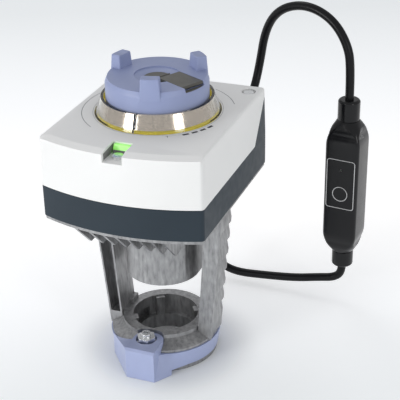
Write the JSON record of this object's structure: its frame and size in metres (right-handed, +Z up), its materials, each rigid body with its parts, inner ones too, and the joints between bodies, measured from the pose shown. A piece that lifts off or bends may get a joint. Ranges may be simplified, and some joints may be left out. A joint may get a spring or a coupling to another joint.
{
  "type": "electric valve actuator",
  "caption": "Electric actuator for a globe valve: housing with hand knob, position ring and fold-out crank on a cast yoke with neck clamp, wired to an in-line push-button module.",
  "frame": {"origin": "on the valve stem's axis at the foot of the neck clamp, where the yoke seats round the valve's neck", "axes": "+Z up along the valve stem, the bulged front of the housing faces -Y, +X to the right seen from the front"},
  "size_m": [0.1933, 0.225, 0.2557],
  "materials": {
    "cast_aluminium": "rough as-cast surface with flow marks",
    "blue_clamp": "satin periwinkle paint",
    "blue_plastic": "satin periwinkle blue",
    "slate_plastic": "satin slate grey",
    "white_plastic": "fine satin moulded surface",
    "clear_plastic": "clear polished",
    "yellow_plastic": "translucent yellow",
    "green_light": "translucent lit window",
    "grey_plastic": "dark olive grey, lightly ribbed",
    "black_plastic": "satin black",
    "black_cable": "smooth satin sheath",
    "zinc_steel": "bright zinc plated",
    "steel": "turned or ground",
    "brass": "machined",
    "bronze": "sintered bronze",
    "white_gear": "natural acetal",
    "seal_rubber": "soft black",
    "green_board": "coated fibreglass",
    "grey_terminals": "moulded"
  },
  "bodies": {
    "root": {"yoke_casting": "cast_aluminium", "neck_clamp": "blue_clamp", "clamp_bolt": "zinc_steel", "housing_base": "slate_plastic", "housing_cover": "white_plastic", "cover_seal": "seal_rubber", "cover_screws": "zinc_steel", "status_light": "green_light", "light_board": "green_board", "main_board": "green_board", "terminal_blocks": "grey_terminals", "motor": "steel", "lay_axle": "steel", "gear_plate": "steel", "plate_posts": "steel", "sleeve_bush": "bronze", "thrust_bearing": "steel", "guide_rod": "steel", "guide_bush": "bronze", "gland_bodies": "black_plastic", "gland_nuts": "black_plastic", "gland_inserts": "seal_rubber", "locknuts": "black_plastic", "blanking_plug": "slate_plastic", "upper_cable": "black_cable", "lower_cable": "black_cable", "module_front": "black_plastic", "module_rear": "black_plastic", "module_board": "green_board", "module_lamp": "clear_plastic", "module_collars": "black_plastic", "ring_retainer": "steel", "index_axle": "steel"},
    "main_drive": {"main_gear": "white_gear", "drive_sleeve": "steel", "knob": "blue_plastic", "crank_pin": "steel"},
    "crank": {"crank": "grey_plastic"},
    "spindle": {"spindle": "steel", "stem_coupler": "steel", "guide_arm": "steel"},
    "lay_shaft": {"lay_gear": "white_gear"},
    "rotor": {"motor_pinion": "brass"},
    "index_shaft": {"index_gear": "white_gear"},
    "position_ring": {"position_ring": "clear_plastic", "glow_ring": "yellow_plastic", "ring_gear": "white_gear"},
    "module_button": {"module_button": "black_plastic"}
  },
  "joints": [
    {"name": "knob_turn", "type": "hinge", "parent": "root", "child": "main_drive", "pos_m": [0, 0, 0.2], "axis": [0, 0, -1], "range_deg": [0, 2880]},
    {"name": "spindle_travel", "type": "slide", "parent": "root", "child": "spindle", "axis": [0, 0, -1], "range_m": [0, 0.02]},
    {"name": "lay_spin", "type": "hinge", "parent": "root", "child": "lay_shaft", "pos_m": [-0.02652, -0.02652, 0.16], "axis": [0, 0, 1], "range_deg": [0, 11520]},
    {"name": "rotor_spin", "type": "hinge", "parent": "root", "child": "rotor", "pos_m": [-0.01447, -0.05235, 0.16], "axis": [0, 0, -1], "range_deg": [0, 43200]},
    {"name": "index_spin", "type": "hinge", "parent": "root", "child": "index_shaft", "pos_m": [0.03036, -0.01012, 0.185], "axis": [0, 0, 1], "range_deg": [0, 1310]},
    {"name": "position_ring_turn", "type": "hinge", "parent": "root", "child": "position_ring", "pos_m": [0, 0, 0.2046], "axis": [0, 0, 1], "range_deg": [0, 262]},
    {"name": "crank_fold", "type": "hinge", "parent": "main_drive", "child": "crank", "pos_m": [0.03075, -0.0099, 0.2306], "axis": [0.4695, 0.8829, 0], "range_deg": [0, 175]},
    {"name": "module_button_press", "type": "slide", "parent": "root", "child": "module_button", "axis": [0.1045, 0.9945, 0], "range_m": [0, 0.0006], "stiffness_N_per_m": 400}
  ],
  "couplings": [
    {"joint": "spindle_travel", "follows": "knob_turn", "m_per_rad": 0.00039789},
    {"joint": "lay_spin", "follows": "knob_turn", "ratio": 4},
    {"joint": "rotor_spin", "follows": "knob_turn", "ratio": 15},
    {"joint": "index_spin", "follows": "knob_turn", "ratio": 0.45455},
    {"joint": "position_ring_turn", "follows": "knob_turn", "ratio": 0.090909}
  ]
}
